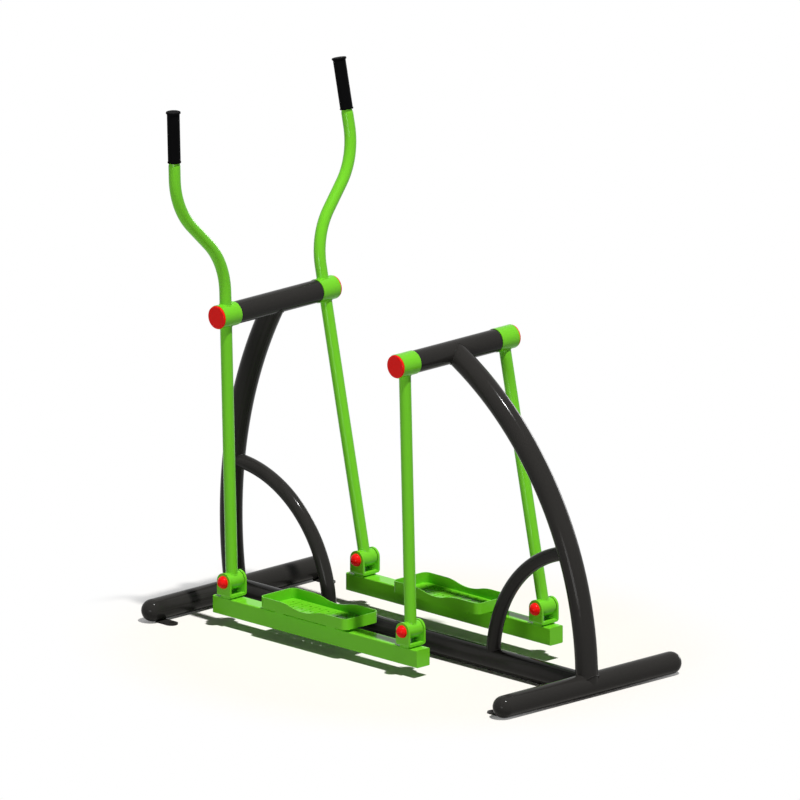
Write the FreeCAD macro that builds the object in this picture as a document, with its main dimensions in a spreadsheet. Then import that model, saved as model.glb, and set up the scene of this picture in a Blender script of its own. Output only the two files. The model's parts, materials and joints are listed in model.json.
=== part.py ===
"""Outdoor air walker: two independent walking beams hung from a curved tube frame.

Frame of the model: +X is the way the user faces, +Y is the user's left and +Z is up.  The origin
lies on the ground, half way between the two foot tubes.  Lengths are millimetres, angles degrees.

Each side is a parallelogram: a front lever and a rear hanger hang from two fixed axles and carry a
walking beam between them.  Both sides are made alike, and the right one is turned end for end.
"""
import FreeCAD
import Part
import os
import re

import Sketcher
from FreeCAD import Vector

SIZES = {
    # welded frame
    "foot_spacing": 1650,
    "foot_length": 842,
    "frame_tube": 76,
    "frame_wall": 3,
    "brace_tube": 48,
    "brace_wall": 3,
    "brace_bend": 441,
    "axis_height": 1052,
    "front_axis": 640,
    "pivot_spacing": 840,
    "column_end": 50,
    "front_column_lean": 7.9,
    "rear_column_lean": -2.1,
    # anchor lugs
    "lug_root": 14,
    "lug_reach": 68,
    "lug_width": 44,
    "lug_plate": 5,
    "lug_hole": 16,
    "lug_inset": 58,
    # axles and hubs
    "lever_plane": 227,
    "axle_bar": 30,
    "axle_end_inset": 3,
    "plug_plate": 12,
    "plug_boss": 38,
    "hub_tube": 80,
    "hub_length": 76,
    "hub_gap": 1,
    "hub_land": 54,
    "hub_bearing": 62,
    "hub_bearing_width": 16,
    "hub_bearing_inset": 2,
    "cap_setback": 8,
    "clip_plate": 1.5,
    "clip_width": 5.5,
    "clip_turn": 320,
    "groove_depth": 0.7,
    "cap_lip": 1.5,
    "cap_rim": 7,
    "cap_round": 3,
    "cap_spigot": 4,
    "cap_wall": 3,
    "running_clearance": 0.05,
    # levers, handles and hangers
    "lever_length": 900,
    "lever_tube": 40,
    "lever_wall": 3,
    "handle_straight": 78,
    "handle_bend": 250,
    "handle_angle": 45,
    "handle_slope": 104,
    "grip_start": 561,
    "grip_length": 173,
    "grip_sleeve": 42.5,
    "grip_wall": 3.2,
    "grip_flange": 49,
    "grip_flange_length": 7,
    "grip_round": 2.5,
    "grip_lip": 45,
    "grip_lip_length": 4,
    "swage_length": 12,
    "left_swing": 1.8,
    "right_swing": 12.25,
    # lower pivots
    "barrel_tube": 57,
    "barrel_length": 58,
    "barrel_land": 34,
    "pivot_bearing": 40,
    "pivot_bearing_width": 12,
    "pivot_bearing_inset": 1,
    "open_pivot_clearance": 0.25,
    "pivot_shank": 17,
    "pivot_thread": 16,
    "bolt_flats": 24,
    "bolt_head": 10,
    "nut_height": 8,
    "bolt_tail": 2,
    "dome_base": 43,
    "dome_height": 20.5,
    "dome_wall": 2,
    # walking beams
    "clevis_width": 61,
    "clevis_span": 78,
    "clevis_plate": 8,
    "clevis_drop": 50,
    "clevis_bend": 10,
    "pad_plate": 6,
    "pad_length": 40,
    "beam_tube": 60,
    "beam_wall": 3,
    "beam_corner": 4,
    "beam_length": 951,
    "end_plate": 3,
    # pedal trays
    "tray_length": 405,
    "tray_width": 158,
    "tray_sheet": 3,
    "tray_rim": 38,
    "tray_corner": 22,
    "left_tray_shift": 39,
    "right_tray_shift": 17,
    "tray_overhang": 20,
    "tray_lift": 9,
    "tray_bar_width": 40,
    "tray_bar_spacing": 240,
    "tray_bar_inset": 12,
    "dip_depth": 15,
    "dip_reach": 108,
    "tray_hole": 8,
    "hole_pitch": 41,
    "hole_columns": 9,
    "hole_rows": 3,
    "tread_width": 6,
    "tread_height": 2,
    "tread_length": 118,
}

DERIVED = {
    "frame_radius": "frame_tube / 2",
    "foot_x": "foot_spacing / 2",
    "foot_straight": "foot_length - frame_tube",
    "rear_axis": "front_axis - pivot_spacing",
    "rise": "axis_height - frame_radius",
    "front_run": "foot_x - front_axis",
    "rear_run": "foot_x + rear_axis",
    "front_chord": "sqrt(front_run ^ 2 + rise ^ 2)",
    "rear_chord": "sqrt(rear_run ^ 2 + rise ^ 2)",
    "front_turn": "front_column_lean + asin(front_run / front_chord) / 1deg",
    "rear_turn": "rear_column_lean + asin(rear_run / rear_chord) / 1deg",
    "front_bend": "(front_chord / 2 - column_end * cos(front_turn)) / sin(front_turn)",
    "rear_bend": "(rear_chord / 2 - column_end * cos(rear_turn)) / sin(rear_turn)",
    "brace_rise": "(brace_bend - column_end) ^ 2 / (2 * brace_bend)",
    "front_brace_sweep": "90 + front_column_lean - asin(brace_rise / front_bend) / 1deg",
    "rear_brace_sweep": "90 + rear_column_lean - asin(brace_rise / rear_bend) / 1deg",
    "hub_half": "hub_length / 2",
    "hub_seat": "hub_bearing / 2",
    "hub_outer": "lever_plane + hub_half",
    "cross_end": "lever_plane - hub_half - hub_gap",
    "inner_bearing": "hub_bearing_inset - hub_half",
    "outer_bearing": "hub_half - cap_setback - hub_bearing_width",
    "axle_radius": "axle_bar / 2",
    "axle_bore": "axle_radius + running_clearance",
    "groove_start": "hub_outer - cap_setback + running_clearance",
    "groove_end": "groove_start + clip_plate",
    "groove_floor": "axle_radius - groove_depth",
    "axle_tip": "hub_outer - axle_end_inset",
    "boss_end": "lever_plane + inner_bearing - running_clearance",
    "cap_radius": "hub_tube / 2 - cap_lip",
    "cap_face": "hub_half + cap_rim",
    "lever_radius": "lever_tube / 2",
    "lever_bore": "lever_radius - lever_wall",
    "bend_out": "handle_bend * (1 - cos(handle_angle))",
    "bend_up": "handle_bend * sin(handle_angle)",
    "slope_out": "bend_out + handle_slope * sin(handle_angle)",
    "slope_up": "handle_straight + bend_up + handle_slope * cos(handle_angle)",
    "handle_flare": "bend_out + slope_out",
    "swage_start": "grip_start - swage_length",
    "neck_radius": "grip_sleeve / 2 - grip_wall",
    "grip_top": "grip_start + grip_length",
    "neck_top": "grip_top - grip_wall",
    "barrel_half": "barrel_length / 2",
    "pivot_seat": "pivot_bearing / 2",
    "barrel_shoulder": "barrel_half - pivot_bearing_inset - pivot_bearing_width",
    "ear_face": "clevis_span / 2",
    "dome_sphere": "((dome_base / 2) ^ 2 + dome_height ^ 2) / (2 * dome_height)",
    "dome_bore": "dome_base / 2 - dome_wall",
    "dome_room": "dome_height - dome_wall",
    "dome_inner_sphere": "(dome_bore ^ 2 + dome_room ^ 2) / (2 * dome_room)",
    "beam_half": "beam_tube / 2",
    "beam_top": "-clevis_drop - pad_plate",
    "beam_middle": "beam_top - beam_half",
    "tray_floor": "beam_top + tray_lift",
    "tray_y": "beam_half + tray_overhang - tray_width / 2",
    "dip_radius": "(dip_reach ^ 2 + dip_depth ^ 2) / (4 * dip_depth)",
}

UPRIGHT = "rotation(vector(0; 0; 1); 0)"
ALONG = {
    "X": "rotation(vector(0; 1; 0); 90)",
    "Y": "rotation(vector(1; 0; 0); -90)",
    "Z": UPRIGHT,
}
Y_TO_Z = "rotation(vector(1; 0; 0); 90)"

doc = FreeCAD.newDocument("air_walker")
sizes = doc.addObject("Spreadsheet::Sheet", "Sizes")
parts = []


# ---------------------------------------------------------------- sizes and rules
def fill_sheet():
    """Puts every driving size into the sheet, one named cell each."""
    for row, (alias, value) in enumerate(SIZES.items(), start=1):
        sizes.set(f"A{row}", alias)
        sizes.set(f"B{row}", str(value))
        sizes.setAlias(f"B{row}", alias)
    doc.recompute()


def rule(text):
    """Turns a rule written with size names into an expression on the sheet's cells."""
    def expand(match):
        word = match.group()
        if word in DERIVED:
            return f"({rule(DERIVED[word])})"
        return f"Sizes.{word}" if word in SIZES else word
    return re.sub(r"[a-z_]+", expand, text)


def value_of(text):
    """The present value of a rule."""
    result = sizes.evalExpression(rule(text))
    return float(getattr(result, "Value", result))


def bind(item, **rules):
    """Binds properties of an object to rules."""
    for name, text in rules.items():
        item.setExpression(name, rule(text))


def at(x="0", y="0", z="0", turn=UPRIGHT):
    """The rule for a placement."""
    return f"placement(vector({x}; {y}; {z}); {turn})"


def about_z(angle):
    """The rule for a turn about the vertical."""
    return f"rotation(vector(0; 0; 1); {angle})"


def place(item, *frames):
    """Binds an object's placement to frames, each one given in the frame before it."""
    bind(item, Placement=" * ".join(frames))
    return item


# ---------------------------------------------------------------- primitives and booleans
def bar(radius, length, x="0", y="0", z="0", along="Z"):
    """A round bar centred on a point."""
    item = doc.addObject("Part::Cylinder", "Bar")
    bind(item, Radius=radius, Height=length)
    return place(item, at(x, y, z, ALONG[along]), at(z=f"-({length}) / 2"))


def block(size_x, size_y, size_z, x="0", y="0", z="0"):
    """A box centred on a point."""
    item = doc.addObject("Part::Box", "Block")
    bind(item, Length=size_x, Width=size_y, Height=size_z)
    return place(item, at(f"{x} - ({size_x}) / 2", f"{y} - ({size_y}) / 2", f"{z} - ({size_z}) / 2"))


def hexagon(across_flats, height, y):
    """A six-sided head whose axis is Y and whose inner face lies at a distance along it."""
    item = doc.addObject("Part::Prism", "Hexagon")
    item.Polygon = 6
    bind(item, Circumradius=f"{across_flats} / sqrt(3)", Height=height)
    return place(item, at(y=y, turn=ALONG["Y"]))


def cut(base, *tools):
    """Takes each tool away from a shape in turn."""
    for tool in tools:
        result = doc.addObject("Part::Cut", "Cut")
        result.Base = base
        result.Tool = tool
        base = result
    return base


def fuse(*shapes):
    """Joins touching shapes into one solid."""
    result = doc.addObject("Part::MultiFuse", "Joined")
    result.Shapes = list(shapes)
    result.Refine = True
    return result


def group(items):
    """Keeps like pieces together as separate solids of one sub-part."""
    result = doc.addObject("Part::Compound", "Group")
    result.Links = list(items)
    return result


def tube(radius, wall, length, **where):
    """A round tube centred on a point."""
    return cut(bar(radius, length, **where), bar(f"{radius} - {wall}", length, **where))


# ---------------------------------------------------------------- sketches and features
def new_body(name):
    """An empty body."""
    return doc.addObject("PartDesign::Body", name)


def new_sketch(body, role, offset="0"):
    """An empty sketch on one of a body's origin planes, moved along the plane's normal."""
    sketch = body.newObject("Sketcher::SketchObject", "Sketch")
    plane = next(item for item in body.Origin.OriginFeatures if item.Role == role)
    sketch.AttachmentSupport = [(plane, "")]
    sketch.MapMode = "FlatFace"
    sketch.setExpression("AttachmentOffset.Base.z", rule(offset))
    return sketch


def hold(sketch, kind, where, text):
    """Adds a dimension to a sketch and binds it to a rule."""
    index = sketch.addConstraint(Sketcher.Constraint(kind, *where, value_of(text)))
    sketch.setExpression(f"Constraints[{index}]", rule(text))


def pin_point(sketch, edge, end, x, y):
    """Holds one end of an edge at a point of the sketch."""
    for kind, text, axis in (("DistanceX", x, -2), ("DistanceY", y, -1)):
        if text == "0":
            sketch.addConstraint(Sketcher.Constraint("PointOnObject", edge, end, axis))
        else:
            hold(sketch, kind, (-1, 1, edge, end), text)


def draw_edge(sketch, start, stop, bend):
    """Draws one edge, straight or bent, and returns it with the numbers of its two ends."""
    if not bend:
        return sketch.addGeometry(Part.LineSegment(start, stop)), 1, 2
    way, radius_rule = bend
    radius = value_of(radius_rule)
    chord = stop - start
    rise = radius - (radius ** 2 - (chord.Length / 2) ** 2) ** 0.5
    right = Vector(chord.y, -chord.x, 0).normalize()
    middle = (start + stop) * 0.5 + right * (rise if way == "ccw" else -rise)
    edge = sketch.addGeometry(Part.Arc(start, middle, stop))
    hold(sketch, "Radius", (edge,), radius_rule)
    return (edge, 1, 2) if way == "ccw" else (edge, 2, 1)


def draw_path(sketch, corners, closed=True):
    """Draws a path through corners.

    A corner is (x, y).  The edge that leaves it is straight, or an arc where the corner goes on
    with the way it turns, "cw" or "ccw", and its radius.
    """
    points = [Vector(value_of(corner[0]), value_of(corner[1]), 0) for corner in corners]
    count = len(corners) if closed else len(corners) - 1
    edges = []
    for index in range(count):
        stop = points[(index + 1) % len(points)]
        edges.append(draw_edge(sketch, points[index], stop, corners[index][2:]))
        pin_point(sketch, edges[-1][0], edges[-1][1], corners[index][0], corners[index][1])
    for (edge, _, last), (after, first, _) in zip(edges, edges[1:] + edges[:1] * closed):
        sketch.addConstraint(Sketcher.Constraint("Coincident", edge, last, after, first))
    if not closed:
        pin_point(sketch, edges[-1][0], edges[-1][2], corners[-1][0], corners[-1][1])


def draw_circle(sketch, radius, x="0", y="0"):
    """Draws a circle about a point of the sketch."""
    middle = Vector(value_of(x), value_of(y), 0)
    edge = sketch.addGeometry(Part.Circle(middle, Vector(0, 0, 1), value_of(radius)))
    pin_point(sketch, edge, 3, x, y)
    hold(sketch, "Radius", (edge,), radius)


def rectangle(x_low, x_high, y_low, y_high):
    """The corners of a rectangle."""
    return [(x_low, y_low), (x_high, y_low), (x_high, y_high), (x_low, y_high)]


def round_rectangle(width, height, radius):
    """The corners of a rectangle about the sketch's origin, with round corners."""
    x, y = f"({width}) / 2", f"({height}) / 2"
    near_x, near_y = f"({width}) / 2 - ({radius})", f"({height}) / 2 - ({radius})"
    return [
        (f"-({near_x})", f"-({y})"), (near_x, f"-({y})", "ccw", radius),
        (x, f"-({near_y})"), (x, near_y, "ccw", radius),
        (near_x, y), (f"-({near_x})", y, "ccw", radius),
        (f"-({x})", near_y), (f"-({x})", f"-({near_y})", "ccw", radius),
    ]


def feature(body, kind, sketch, **rules):
    """Adds a feature to a body and binds its dimensions."""
    item = body.newObject(f"PartDesign::{kind}", kind)
    item.Profile = sketch
    bind(item, **rules)
    return item


def pad_both_ways(body, sketch, length):
    """Pads a sketch evenly to both sides of its plane."""
    item = feature(body, "Pad", sketch, Length=length)
    item.Midplane = True
    return item


def cut_both_ways(body, sketch, length):
    """Cuts a sketch evenly to both sides of its plane."""
    item = feature(body, "Pocket", sketch, Length=length)
    item.Midplane = True
    return item


def turned(*corners, angle="360"):
    """A body turned about its own Y axis: each corner is (radius, distance along Y)."""
    body = new_body("Turned")
    sketch = new_sketch(body, "XY_Plane")
    draw_path(sketch, corners)
    item = feature(body, "Revolution", sketch, Angle=angle)
    item.ReferenceAxis = (sketch, ["V_Axis"])
    return body


def ring(bore, outside, low, high, angle="360"):
    """A plain ring about the Y axis."""
    return turned(*rectangle(bore, outside, low, high), angle=angle)


def bent_bar(radii, bend, sweep, forward):
    """A bar or tube bent about the Y axis, which starts level with the bend's centre and rises.

    It starts in front of the centre where forward is true, and otherwise behind it.
    """
    body = new_body("Bent")
    sketch = new_sketch(body, "XY_Plane")
    for radius in radii:
        draw_circle(sketch, radius, x=bend if forward else f"-({bend})")
    item = feature(body, "Revolution", sketch, Angle=sweep)
    item.ReferenceAxis = (sketch, ["V_Axis"])
    item.Reversed = forward
    return body


def repeat(body, original, sketch, *runs):
    """Repeats a feature in runs: each is the sketch's axis, the whole length and the count."""
    pattern = body.newObject("PartDesign::MultiTransform", "Repeated")
    pattern.Originals = [original]
    steps = []
    for axis, length, count in runs:
        step = body.newObject("PartDesign::LinearPattern", "Run")
        step.Direction = (sketch, [axis])
        bind(step, Length=length, Occurrences=count)
        steps.append(step)
    pattern.Transformations = steps
    body.Tip = pattern


def finish(label, item, *frames):
    """Names an object as a sub-part and places it."""
    item.Label = label
    if frames:
        place(item, *frames)
    parts.append(item)


# ---------------------------------------------------------------- welded frame
def make_foot_cap():
    """A hollow half ball about the Y axis, which closes a foot tube."""
    inner = "frame_radius - frame_wall"
    return turned(("0", "frame_radius", "cw", "frame_radius"), ("frame_radius", "0"),
                  (inner, "0", "ccw", inner), ("0", inner))


def make_lug():
    """A round-ended plate with one bolt hole, coped to the low inner side of a foot tube."""
    middle = "lug_plate / 2"
    plate = block("lug_reach - lug_root", "lug_width", "lug_plate",
                  x="-(lug_reach + lug_root) / 2", z=middle)
    tip = bar("lug_width / 2", "lug_plate", x="-lug_reach", z=middle)
    hole = bar("lug_hole / 2", "2 * lug_plate", x="-lug_reach", z=middle)
    foot = bar("frame_radius", "2 * lug_width", z="frame_radius", along="Y")
    return cut(fuse(plate, tip), hole, foot)


def make_feet():
    """Foot tubes with their end caps and anchor lugs."""
    caps = []
    lugs = []
    for end, sign, facing in (("front", "", "0"), ("rear", "-", "180")):
        foot = tube("frame_radius", "frame_wall", "foot_straight", x=f"{sign}foot_x",
                    z="frame_radius", along="Y")
        finish(f"{end}_foot_tube", foot)
        for side, turn in (("", "0"), ("-", "180")):
            caps.append(place(make_foot_cap(), at(f"{sign}foot_x", f"{side}foot_straight / 2",
                                                  "frame_radius", about_z(turn))))
            lugs.append(place(make_lug(), at(f"{sign}foot_x", f"{side}(foot_length / 2 - lug_inset)",
                                             "0", about_z(facing))))
    finish("foot_end_caps", group(caps))
    finish("anchor_lugs", group(lugs))


def make_column(end, *radii):
    """A column bent towards +X from its foot at the origin, with straight ends."""
    body = new_body("Column")
    start = new_sketch(body, "XY_Plane")
    for radius in radii:
        draw_circle(start, radius)
    bend, angle = f"{end}_bend", f"2 * {end}_turn"
    bent_x, bent_y = f"{bend} * (1 - cos({angle}))", f"column_end + {bend} * sin({angle})"
    route = new_sketch(body, "XZ_Plane")
    draw_path(route, [
        ("0", "0"), ("0", "column_end", "cw", bend), (bent_x, bent_y),
        (f"{bent_x} + column_end * sin({angle})", f"{bent_y} + column_end * cos({angle})"),
    ], closed=False)
    pipe = body.newObject("PartDesign::AdditivePipe", "Pipe")
    pipe.Profile = start
    pipe.Spine = route
    return body


def make_frame():
    """Base rail, curved columns, quarter-round braces and the cross tubes on top."""
    def foot_bar(x):
        return bar("frame_radius", "foot_length", x=x, z="frame_radius", along="Y")

    def rail_bar():
        return bar("frame_radius", "foot_spacing", z="frame_radius", along="X")

    rail = tube("frame_radius", "frame_wall", "foot_spacing", z="frame_radius", along="X")
    finish("base_rail", cut(rail, foot_bar("foot_x"), foot_bar("-foot_x")))

    for end, sign, facing in (("front", "", "180"), ("rear", "-", "0")):
        lean = f"rotation(vector(0; 1; 0); {sign}{end}_column_lean)"
        foot = at(f"{sign}foot_x", "0", "frame_radius")
        stand = (foot, at(turn=lean), at(turn=about_z(facing)))
        column = place(make_column(end, "frame_radius", "frame_radius - frame_wall"), *stand)
        cross_bar = bar("frame_radius", "2 * cross_end", x=f"{end}_axis", z="axis_height", along="Y")
        finish(f"{end}_column", cut(column, foot_bar(f"{sign}foot_x"), rail_bar(), cross_bar))

        brace = bent_bar(("brace_tube / 2", "brace_tube / 2 - brace_wall"), "brace_bend",
                         f"{end}_brace_sweep", end == "rear")
        column_bar = place(make_column(end, "frame_radius"), *stand)
        finish(f"{end}_brace", cut(place(brace, foot), column_bar, rail_bar()))

        finish(f"{end}_cross_tube", tube("frame_radius", "frame_wall", "2 * cross_end",
                                         x=f"{end}_axis", z="axis_height", along="Y"))


def make_axles():
    """Axle bars, the plugs that hold them in the cross tubes, and their retaining rings."""
    axles = []
    plugs = []
    clips = []
    tip = [("groove_floor", "groove_start"), ("groove_floor", "groove_end"),
           ("axle_radius", "groove_end"), ("axle_radius", "axle_tip"), ("0", "axle_tip")]
    upper = [("axle_radius", "groove_start"), *tip]
    lower = [(radius, f"-({y})") for radius, y in reversed(upper)]
    for end in ("front", "rear"):
        axle = at(f"{end}_axis", "0", "axis_height")
        axles.append(place(turned(*lower, *upper), axle))
        for turn in ("0", "180"):
            plug = turned(("axle_radius", "cross_end - plug_plate"),
                          ("frame_radius - frame_wall", "cross_end - plug_plate"),
                          ("frame_radius - frame_wall", "cross_end"), ("plug_boss / 2", "cross_end"),
                          ("plug_boss / 2", "boss_end"), ("axle_radius", "boss_end"))
            clip = ring("groove_floor", "axle_radius + clip_width", "groove_start", "groove_end",
                        angle="clip_turn")
            plugs.append(place(plug, axle, at(turn=about_z(turn))))
            clips.append(place(clip, axle, at(turn=about_z(turn))))
    finish("axles", group(axles))
    finish("axle_plugs", group(plugs))
    finish("axle_clips", group(clips))


# ---------------------------------------------------------------- levers and hangers
def bored_collar(outside, half, seat, shoulder, land):
    """A collar about the Y axis, bored from both ends for bearings that rest on a land."""
    return turned((seat, f"-({half})"), (outside, f"-({half})"), (outside, half), (seat, half),
                  (seat, shoulder), (land, shoulder), (land, f"-({shoulder})"),
                  (seat, f"-({shoulder})"))


def make_hub(name, hub):
    """Hub collar with its two ball bearings and the cap that closes its outer end."""
    seat = "hub_seat"
    half = "hub_half"
    collar = turned((seat, f"-{half}"), ("hub_tube / 2", f"-{half}"), ("hub_tube / 2", half),
                    (seat, half), (seat, "outer_bearing"), ("hub_land / 2", "outer_bearing"),
                    ("hub_land / 2", "inner_bearing + hub_bearing_width"),
                    (seat, "inner_bearing + hub_bearing_width"))
    finish(f"{name}_hub", collar, hub)
    rings = [ring("axle_bore", seat, low, f"{low} + hub_bearing_width")
             for low in ("inner_bearing", "outer_bearing")]
    finish(f"{name}_hub_bearings", group(rings), hub)
    spigot = f"{half} - cap_spigot"
    cap = turned(("0", "cap_face"), ("cap_radius - cap_round", "cap_face", "cw", "cap_round"),
                 ("cap_radius", "cap_face - cap_round"), ("cap_radius", half), (seat, half),
                 (seat, spigot), (f"{seat} - cap_wall", spigot), (f"{seat} - cap_wall", half),
                 ("0", half))
    finish(f"{name}_hub_cap", cap, hub)


def make_lever(name, tube_label, hub, clearance):
    """Lever tube from a hub down to its pivot barrel, with the barrel's two ball bearings."""
    lever = tube("lever_radius", "lever_wall", "lever_length", z="-lever_length / 2")
    collar = bar("hub_tube / 2", "hub_length", along="Y")
    barrel_bar = bar("barrel_tube / 2", "barrel_length", z="-lever_length", along="Y")
    finish(tube_label, cut(lever, collar, barrel_bar), hub)

    low_end = at(z="-lever_length")
    barrel = bored_collar("barrel_tube / 2", "barrel_half", "pivot_seat", "barrel_shoulder",
                          "barrel_land / 2")
    finish(f"{name}_barrel", barrel, hub, low_end)
    bore = f"pivot_shank / 2 + {clearance}"
    rings = [ring(bore, "pivot_seat", low, f"{low} + pivot_bearing_width")
             for low in ("barrel_shoulder", "-barrel_shoulder - pivot_bearing_width")]
    finish(f"{name}_pivot_bearings", group(rings), hub, low_end)


def make_handle(side, hub):
    """Handle tube, swept out to the side in an S bend and swaged under its rubber grip."""
    swept = new_body("Swept")
    start = new_sketch(swept, "XY_Plane")
    draw_circle(start, "lever_radius")
    draw_circle(start, "lever_bore")
    route = new_sketch(swept, "YZ_Plane")
    draw_path(route, [
        ("0", "0"), ("0", "handle_straight", "cw", "handle_bend"),
        ("bend_out", "handle_straight + bend_up"), ("slope_out", "slope_up", "ccw", "handle_bend"),
        ("handle_flare", "slope_up + bend_up"), ("handle_flare", "swage_start"),
    ], closed=False)
    pipe = swept.newObject("PartDesign::AdditivePipe", "Pipe")
    pipe.Profile = start
    pipe.Spine = route
    neck_bore = "neck_radius - lever_wall"
    neck = turned(("lever_bore", "swage_start"), ("lever_radius", "swage_start"),
                  ("neck_radius", "grip_start"), ("neck_radius", "neck_top"),
                  (neck_bore, "neck_top"), (neck_bore, "grip_start"))
    over_handle = at(y="handle_flare", turn=Y_TO_Z)
    collar = bar("hub_tube / 2", "hub_length", along="Y")
    finish(f"{side}_handle_tube", cut(fuse(swept, place(neck, over_handle)), collar), hub)

    sleeve = "grip_sleeve / 2"
    lip_end = "grip_start + grip_lip_length"
    flange_start = "grip_top - grip_flange_length"
    rounded = "grip_flange / 2 - grip_round"
    grip = turned(("neck_radius", "grip_start"), ("grip_lip / 2", "grip_start"),
                  ("grip_lip / 2", lip_end), (sleeve, lip_end), (sleeve, flange_start),
                  (rounded, flange_start, "ccw", "grip_round"),
                  ("grip_flange / 2", f"{flange_start} + grip_round"),
                  ("grip_flange / 2", "grip_top - grip_round", "ccw", "grip_round"),
                  (rounded, "grip_top"), ("0", "grip_top"), ("0", "neck_top"),
                  ("neck_radius", "neck_top"))
    finish(f"{side}_grip", grip, hub, over_handle)


# ---------------------------------------------------------------- walking beams
def make_clevis():
    """A bracket bent from plate: two round ears about the pivot, joined by a flat base."""
    body = new_body("Clevis")
    half = "clevis_width / 2"
    outline = new_sketch(body, "XZ_Plane")
    draw_path(outline, [(f"-{half}", "-clevis_drop"), (half, "-clevis_drop"),
                        (half, "0", "ccw", half), ("0", half, "ccw", half), (f"-{half}", "0")])
    pad_both_ways(body, outline, "clevis_span")
    room = new_sketch(body, "YZ_Plane")
    inner = "ear_face - clevis_plate"
    draw_path(room, rectangle(f"-({inner})", inner, "clevis_plate - clevis_drop", "clevis_width"))
    cut_both_ways(body, room, "2 * clevis_width")
    hole = new_sketch(body, "XZ_Plane")
    draw_circle(hole, "pivot_shank / 2")
    last = cut_both_ways(body, hole, "2 * clevis_span")
    doc.recompute()
    low = [f"Edge{index}" for index, edge in enumerate(last.Shape.Edges, start=1)
           if edge.BoundBox.ZMax < value_of("-clevis_drop") + 0.001
           and edge.BoundBox.XLength > value_of("clevis_width") - 0.001]
    fillet = body.newObject("PartDesign::Fillet", "Bends")
    fillet.Base = (last, low)
    bind(fillet, Radius="clevis_bend")
    return body


def make_dome():
    """The hollow domed cap over a bolt head or nut, about the Y axis."""
    return turned(("0", "ear_face + dome_height", "cw", "dome_sphere"),
                  ("dome_base / 2", "ear_face"),
                  ("dome_bore", "ear_face", "ccw", "dome_inner_sphere"),
                  ("0", "ear_face + dome_room"))


def make_bolt():
    """A shouldered pivot bolt through both ears, with its head outward."""
    shank = bar("pivot_shank / 2", "clevis_span", along="Y")
    thread_length = "nut_height + bolt_tail"
    thread = bar("pivot_thread / 2", thread_length, y=f"-ear_face - ({thread_length}) / 2", along="Y")
    return fuse(shank, thread, hexagon("bolt_flats", "bolt_head", "ear_face"))


def make_nut():
    """The nut on the bolt's inner end."""
    hole = bar("pivot_thread / 2", "4 * nut_height", y="-ear_face", along="Y")
    return cut(hexagon("bolt_flats", "nut_height", "-ear_face - nut_height"), hole)


def make_tray():
    """Pedal tray pressed from sheet: a wavy rim, drain holes and raised treads."""
    body = new_body("Tray")
    outline = new_sketch(body, "XY_Plane")
    draw_path(outline, round_rectangle("tray_length", "tray_width", "tray_corner"))
    feature(body, "Pad", outline, Length="tray_rim")

    inside = new_sketch(body, "XY_Plane", offset="tray_rim")
    draw_path(inside, round_rectangle("tray_length - 2 * tray_sheet", "tray_width - 2 * tray_sheet",
                                      "tray_corner - tray_sheet"))
    feature(body, "Pocket", inside, Length="tray_rim - tray_sheet")

    dip = new_sketch(body, "XZ_Plane")
    above = "tray_rim + dip_depth"
    half_way = "tray_rim - dip_depth / 2"
    draw_path(dip, [("-dip_reach", "tray_rim", "cw", "dip_radius"),
                    ("-dip_reach / 2", half_way, "ccw", "dip_radius"),
                    ("dip_reach / 2", half_way, "cw", "dip_radius"), ("dip_reach", "tray_rim"),
                    ("dip_reach", above), ("-dip_reach", above)])
    cut_both_ways(body, dip, "2 * tray_width")

    tread = new_sketch(body, "XY_Plane", offset="tray_sheet")
    first_tread = "hole_pitch * (2 - hole_columns) / 2"
    draw_path(tread, rectangle(f"{first_tread} - tread_width / 2", f"{first_tread} + tread_width / 2",
                               "-tread_length / 2", "tread_length / 2"))
    raised = feature(body, "Pad", tread, Length="tread_height")
    repeat(body, raised, tread, ("H_Axis", "hole_pitch * (hole_columns - 2)", "hole_columns - 1"))

    hole = new_sketch(body, "XY_Plane")
    draw_circle(hole, "tray_hole / 2", x="hole_pitch * (1 - hole_columns) / 2",
                y="hole_pitch * (1 - hole_rows) / 2")
    drilled = cut_both_ways(body, hole, "3 * tray_sheet")
    repeat(body, drilled, hole, ("H_Axis", "hole_pitch * (hole_columns - 1)", "hole_columns"),
           ("V_Axis", "hole_pitch * (hole_rows - 1)", "hole_rows"))
    return body


def make_square_tube():
    """The walking beam's square tube along X, with rounded corners."""
    body = new_body("Beam")
    section = new_sketch(body, "YZ_Plane")
    draw_path(section, round_rectangle("beam_tube", "beam_tube", "beam_corner"))
    bore = "beam_half - beam_wall"
    draw_path(section, rectangle(f"-({bore})", bore, f"-({bore})", bore))
    pad_both_ways(body, section, "beam_length")
    return body


def make_end_plate():
    """A square plate that closes one end of the beam."""
    body = new_body("EndPlate")
    section = new_sketch(body, "YZ_Plane")
    draw_path(section, round_rectangle("beam_tube", "beam_tube", "beam_corner"))
    pad_both_ways(body, section, "end_plate")
    return body


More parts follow.
